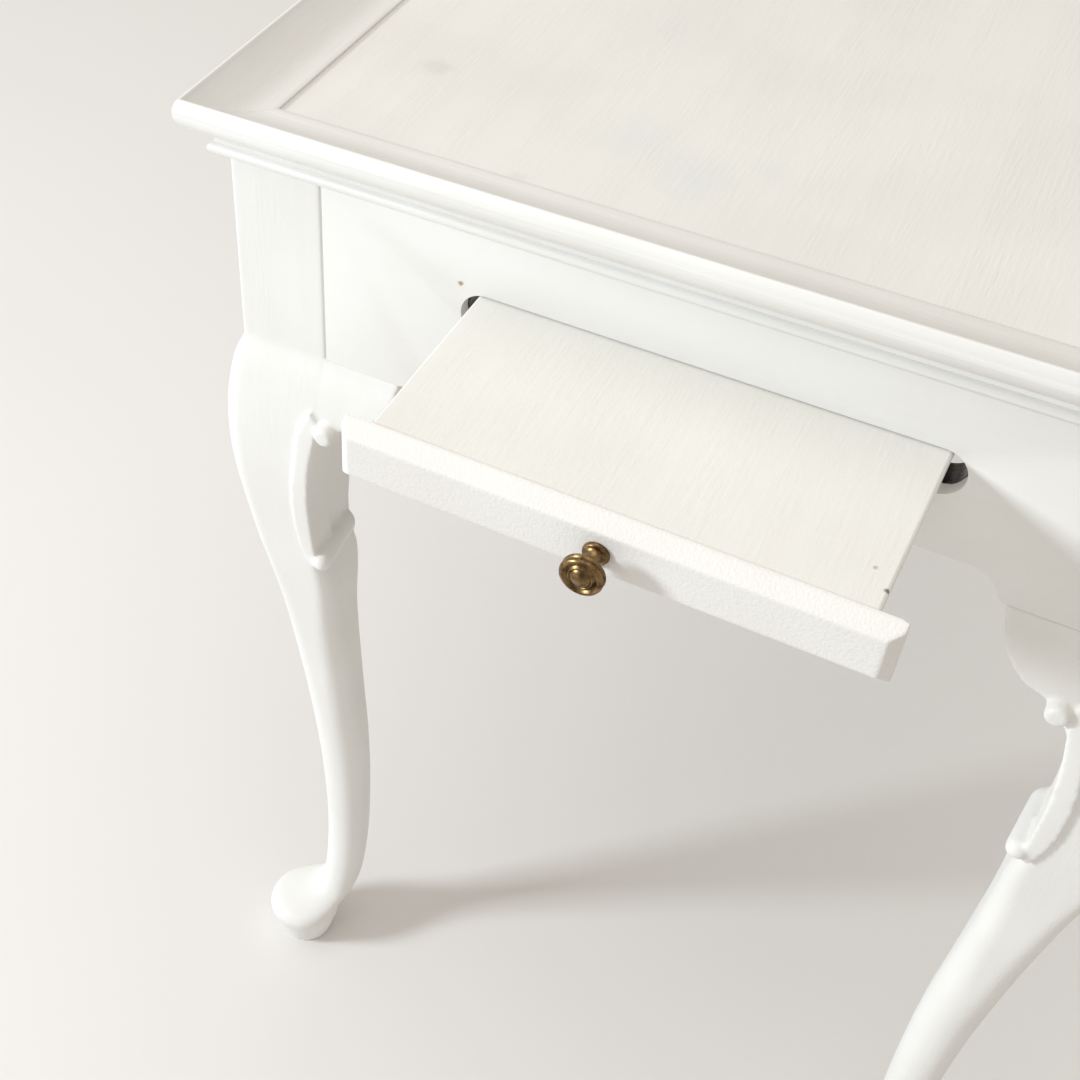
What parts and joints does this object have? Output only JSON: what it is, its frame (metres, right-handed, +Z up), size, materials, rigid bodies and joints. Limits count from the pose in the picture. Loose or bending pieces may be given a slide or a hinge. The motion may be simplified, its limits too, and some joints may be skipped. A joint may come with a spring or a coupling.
{
  "type": "tray top side table with candle slide",
  "caption": "Painted tray-top side table on cabriole legs with pad feet, carved knee scrolls, a shaped apron and a pull-out candle slide with a turned brass knob.",
  "frame": {"origin": "on the floor, under the centre of the whole object's box with the slide out by 91.5 mm", "axes": "+X to the right across the end with the slide, -Y the way the slide pulls out, +Z up"},
  "size_m": [0.474, 0.844, 0.6603],
  "materials": {
    "frame_paint": "satin brushed paint",
    "top_paint": "satin brushed paint with faint stains",
    "slide_paint": "satin brushed paint",
    "lip_paint": "stippled satin paint",
    "bare_wood": "unfinished",
    "dark_lacquer": "gloss lacquer",
    "antique_brass": "antiqued, worn on the edges",
    "screw_steel": "plain"
  },
  "bodies": {
    "table": {"apron_front": "frame_paint", "apron_left": "frame_paint", "apron_rear": "frame_paint", "apron_right": "frame_paint", "brace_screws": "screw_steel", "corner_block_front_left": "bare_wood", "corner_block_front_right": "bare_wood", "corner_block_rear_left": "bare_wood", "corner_block_rear_right": "bare_wood", "cross_rail": "bare_wood", "edge_bead_front": "frame_paint", "edge_bead_left": "frame_paint", "edge_bead_rear": "frame_paint", "edge_bead_right": "frame_paint", "knee_block_front_left_end": "frame_paint", "knee_block_front_left_side": "frame_paint", "knee_block_front_right_end": "frame_paint", "knee_block_front_right_side": "frame_paint", "knee_block_rear_left_end": "frame_paint", "knee_block_rear_left_side": "frame_paint", "knee_block_rear_right_end": "frame_paint", "knee_block_rear_right_side": "frame_paint", "leg_front_left": "frame_paint", "leg_front_right": "frame_paint", "leg_rear_left": "frame_paint", "leg_rear_right": "frame_paint", "rim_front": "frame_paint", "rim_left": "frame_paint", "rim_rear": "frame_paint", "rim_right": "frame_paint", "runner_screws": "screw_steel", "slide_runner_left": "dark_lacquer", "slide_runner_right": "dark_lacquer", "top_board": "top_paint", "top_screws": "screw_steel"},
    "slide": {"knob_screw": "screw_steel", "slide_board": "slide_paint", "slide_knob": "antique_brass", "slide_lip": "lip_paint", "slide_stop_pegs": "bare_wood"}
  },
  "joints": [
    {"name": "slide_pull", "type": "slide", "parent": "table", "child": "slide", "axis": [0, -1, 0], "range_m": [-0.0912, 0.1082]}
  ]
}
